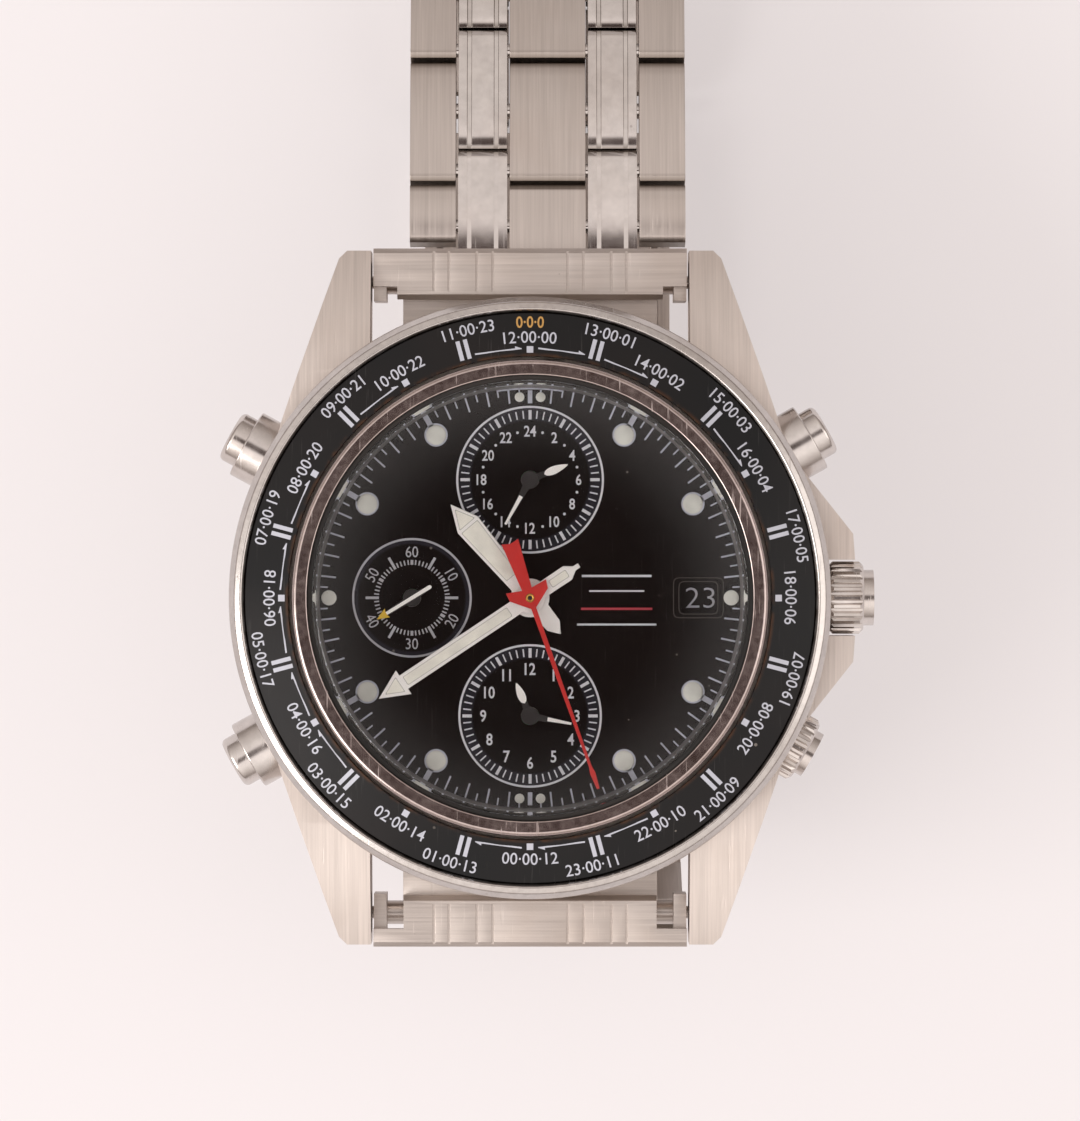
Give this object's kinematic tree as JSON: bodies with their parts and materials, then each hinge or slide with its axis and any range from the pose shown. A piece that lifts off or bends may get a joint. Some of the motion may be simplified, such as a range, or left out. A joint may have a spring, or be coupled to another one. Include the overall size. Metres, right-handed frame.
{
  "type": "world time watch",
  "caption": "World time wristwatch with turning city bezel, black dial with three small dials, two crowns, three pushers and a folding-clasp steel bracelet.",
  "frame": {"origin": "centre of the case back outer face", "axes": "+Z out of the dial, +Y to twelve o'clock, +X to three o'clock"},
  "size_m": [0.041, 0.0687, 0.0308],
  "materials": {
    "brushed_case": "satin brushed steel",
    "polished_steel": "polished steel",
    "brushed_links": "satin brushed steel, lengthwise grain",
    "polished_links": "polished steel",
    "pin_steel": "dulled steel",
    "gasket": "matt rubber",
    "black_flange": "matt black",
    "dial_black": "satin black lacquer",
    "city_black": "gloss black",
    "glass": "clear mineral glass",
    "movement_metal": "plated brass",
    "holder_plastic": "moulded plastic",
    "battery_steel": "steel can",
    "coil_copper": "enamelled copper",
    "board_green": "laminate",
    "white_hand": "white paint",
    "red_hand": "red paint",
    "date_print": "black with pale figures"
  },
  "bodies": {
    "head": {"case_body": "brushed_case", "case_back": "brushed_case", "back_gasket": "gasket", "glass_ring": "polished_steel", "glass": "glass", "glass_gasket": "gasket", "dial_flange": "black_flange", "dial": "dial_black", "movement_plate": "movement_metal", "movement_holder": "holder_plastic", "battery": "battery_steel", "drive_coil": "coil_copper", "circuit_board": "board_green", "buzzer": "movement_metal", "crown_tubes": "polished_steel", "pusher_collars": "polished_steel", "end_piece_upper": "brushed_case", "end_piece_lower": "brushed_case", "spring_bars": "pin_steel"},
    "bezel": {"bezel_ring": "polished_steel", "city_ring": "city_black"},
    "hour": {"hour_hand": "white_hand"},
    "minute": {"minute_hand": "white_hand"},
    "sweep": {"sweep_hand": "red_hand"},
    "local_hour": {"local_hour_hand": "white_hand"},
    "local_minute": {"local_minute_hand": "white_hand"},
    "alarm_hour": {"alarm_hour_hand": "white_hand"},
    "alarm_minute": {"alarm_minute_hand": "white_hand"},
    "counter": {"counter_hand": "white_hand"},
    "date": {"date_disc": "date_print"},
    "crown_stem": {"crown_stem": "pin_steel"},
    "crown": {"crown": "polished_steel"},
    "alarm_stem": {"alarm_stem": "pin_steel"},
    "alarm_crown": {"alarm_crown": "polished_steel"},
    "pusher_upper_right": {"pusher_upper_right": "polished_steel"},
    "pusher_upper_left": {"pusher_upper_left": "polished_steel"},
    "pusher_lower_left": {"pusher_lower_left": "polished_steel"},
    "link_upper_1": {"link_upper_1_row": "brushed_links", "link_upper_1_beads": "polished_links"},
    "link_upper_2": {"link_upper_2_row": "brushed_links", "link_upper_2_beads": "polished_links"},
    "link_upper_3": {"link_upper_3_row": "brushed_links", "link_upper_3_beads": "polished_links"},
    "link_upper_4": {"link_upper_4_row": "brushed_links", "link_upper_4_beads": "polished_links"},
    "link_upper_5": {"link_upper_5_row": "brushed_links", "link_upper_5_beads": "polished_links"},
    "link_upper_6": {"link_upper_6_row": "brushed_links", "link_upper_6_beads": "polished_links"},
    "link_lower_1": {"link_lower_1_row": "brushed_links", "link_lower_1_beads": "polished_links"},
    "link_lower_2": {"link_lower_2_row": "brushed_links", "link_lower_2_beads": "polished_links"},
    "link_lower_3": {"link_lower_3_row": "brushed_links", "link_lower_3_beads": "polished_links"},
    "link_lower_4": {"link_lower_4_row": "brushed_links", "link_lower_4_beads": "polished_links"},
    "clasp_inner": {"clasp_blade_inner": "polished_steel"},
    "clasp_outer": {"clasp_blade_outer": "polished_steel"},
    "clasp_cover": {"clasp_cover": "brushed_links"}
  },
  "joints": [
    {"name": "bezel_turn", "type": "hinge", "parent": "head", "child": "bezel", "pos_m": [0, 0, 0.0085], "axis": [0, 0, -1], "continuous": true},
    {"name": "hour_turn", "type": "hinge", "parent": "head", "child": "hour", "pos_m": [0, 0, 0.0068], "axis": [0, 0, -1], "continuous": true},
    {"name": "minute_turn", "type": "hinge", "parent": "head", "child": "minute", "pos_m": [0, 0, 0.0068], "axis": [0, 0, -1], "continuous": true},
    {"name": "sweep_turn", "type": "hinge", "parent": "head", "child": "sweep", "pos_m": [0, 0, 0.0068], "axis": [0, 0, -1], "continuous": true},
    {"name": "local_hour_turn", "type": "hinge", "parent": "head", "child": "local_hour", "pos_m": [0, 0.0073, 0.0068], "axis": [0, 0, -1], "continuous": true},
    {"name": "local_minute_turn", "type": "hinge", "parent": "head", "child": "local_minute", "pos_m": [0, 0.0073, 0.0068], "axis": [0, 0, -1], "continuous": true},
    {"name": "alarm_hour_turn", "type": "hinge", "parent": "head", "child": "alarm_hour", "pos_m": [0, -0.0073, 0.0068], "axis": [0, 0, -1], "continuous": true},
    {"name": "alarm_minute_turn", "type": "hinge", "parent": "head", "child": "alarm_minute", "pos_m": [0, -0.0073, 0.0068], "axis": [0, 0, -1], "continuous": true},
    {"name": "counter_turn", "type": "hinge", "parent": "head", "child": "counter", "pos_m": [-0.0073, 0, 0.0068], "axis": [0, 0, -1], "continuous": true},
    {"name": "date_turn", "type": "hinge", "parent": "head", "child": "date", "pos_m": [0, 0, 0.0068], "axis": [0, 0, -1], "continuous": true},
    {"name": "crown_pull", "type": "slide", "parent": "head", "child": "crown_stem", "axis": [1, 0, 0], "range_m": [0, 0.001]},
    {"name": "crown_turn", "type": "hinge", "parent": "crown_stem", "child": "crown", "pos_m": [0.01875, 0, 0.00475], "axis": [1, 0, 0], "continuous": true},
    {"name": "alarm_crown_pull", "type": "slide", "parent": "head", "child": "alarm_stem", "axis": [0.8729, -0.4879, 0], "range_m": [0, 0.001]},
    {"name": "alarm_crown_turn", "type": "hinge", "parent": "alarm_stem", "child": "alarm_crown", "pos_m": [0.01606, -0.00898, 0.00475], "axis": [0.8729, -0.4879, 0], "continuous": true},
    {"name": "pusher_upper_right_press", "type": "slide", "parent": "head", "child": "pusher_upper_right", "axis": [-0.8678, -0.497, 0], "range_m": [0, 0.0007], "stiffness_N_per_m": 2500, "springref_m": -0.0004},
    {"name": "pusher_upper_left_press", "type": "slide", "parent": "head", "child": "pusher_upper_left", "axis": [0.8788, -0.4772, 0], "range_m": [0, 0.0007], "stiffness_N_per_m": 2500, "springref_m": -0.0004},
    {"name": "pusher_lower_left_press", "type": "slide", "parent": "head", "child": "pusher_lower_left", "axis": [0.8721, 0.4894, 0], "range_m": [0, 0.0007], "stiffness_N_per_m": 2500, "springref_m": -0.0004},
    {"name": "link_upper_1_pivot", "type": "hinge", "parent": "head", "child": "link_upper_1", "pos_m": [0.0011, 0.0199, 0.0024], "axis": [1, 0, 0], "range_deg": [0, 11]},
    {"name": "link_upper_2_pivot", "type": "hinge", "parent": "link_upper_1", "child": "link_upper_2", "pos_m": [0.0011, 0.02703, 0.0014], "axis": [1, 0, 0], "range_deg": [0, 10]},
    {"name": "link_upper_3_pivot", "type": "hinge", "parent": "link_upper_2", "child": "link_upper_3", "pos_m": [0.0011, 0.03479, -0.00054], "axis": [1, 0, 0], "range_deg": [0, 12]},
    {"name": "link_upper_4_pivot", "type": "hinge", "parent": "link_upper_3", "child": "link_upper_4", "pos_m": [0.0011, 0.04221, -0.00353], "axis": [1, 0, 0], "range_deg": [0, 52]},
    {"name": "link_upper_5_pivot", "type": "hinge", "parent": "link_upper_4", "child": "link_upper_5", "pos_m": [0.0011, 0.04495, -0.01105], "axis": [1, 0, 0], "range_deg": [0, 62]},
    {"name": "link_upper_6_pivot", "type": "hinge", "parent": "link_upper_5", "child": "link_upper_6", "pos_m": [0.0011, 0.04002, -0.01736], "axis": [1, 0, 0], "range_deg": [0, 48]},
    {"name": "link_lower_1_pivot", "type": "hinge", "parent": "head", "child": "link_lower_1", "pos_m": [0.0011, -0.0199, 0.0024], "axis": [-1, 0, 0], "range_deg": [0, 87]},
    {"name": "link_lower_2_pivot", "type": "hinge", "parent": "link_lower_1", "child": "link_lower_2", "pos_m": [0.0011, -0.02065, -0.00476], "axis": [-1, 0, 0], "range_deg": [0, 31.5]},
    {"name": "link_lower_3_pivot", "type": "hinge", "parent": "link_lower_2", "child": "link_lower_3", "pos_m": [0.0011, -0.01772, -0.0122], "axis": [-1, 0, 0], "range_deg": [0, 32.5]},
    {"name": "link_lower_4_pivot", "type": "hinge", "parent": "link_lower_3", "child": "link_lower_4", "pos_m": [0.0011, -0.01159, -0.01735], "axis": [-1, 0, 0], "range_deg": [0, 36.5]},
    {"name": "clasp_end_pivot", "type": "hinge", "parent": "link_upper_6", "child": "clasp_inner", "pos_m": [0.0011, 0.0321, -0.01847], "axis": [1, 0, 0], "range_deg": [0, 11.87]},
    {"name": "clasp_fold", "type": "hinge", "parent": "clasp_inner", "child": "clasp_outer", "pos_m": [0.0011, 0.0003, -0.01854], "axis": [-1, 0, 0], "range_deg": [0, 115]},
    {"name": "clasp_open", "type": "hinge", "parent": "clasp_outer", "child": "clasp_cover", "pos_m": [0.0011, 0.0291, -0.01848], "axis": [1, 0, 0], "range_deg": [0, 75]}
  ],
  "couplings": [
    {"joint": "hour_turn", "follows": "minute_turn", "ratio": 0.083333},
    {"joint": "local_minute_turn", "follows": "minute_turn", "ratio": 1},
    {"joint": "local_hour_turn", "follows": "minute_turn", "ratio": 0.041667},
    {"joint": "date_turn", "follows": "minute_turn", "ratio": -0.0013441},
    {"joint": "counter_turn", "follows": "sweep_turn", "ratio": 0.016667},
    {"joint": "alarm_hour_turn", "follows": "alarm_minute_turn", "ratio": 0.083333}
  ]
}
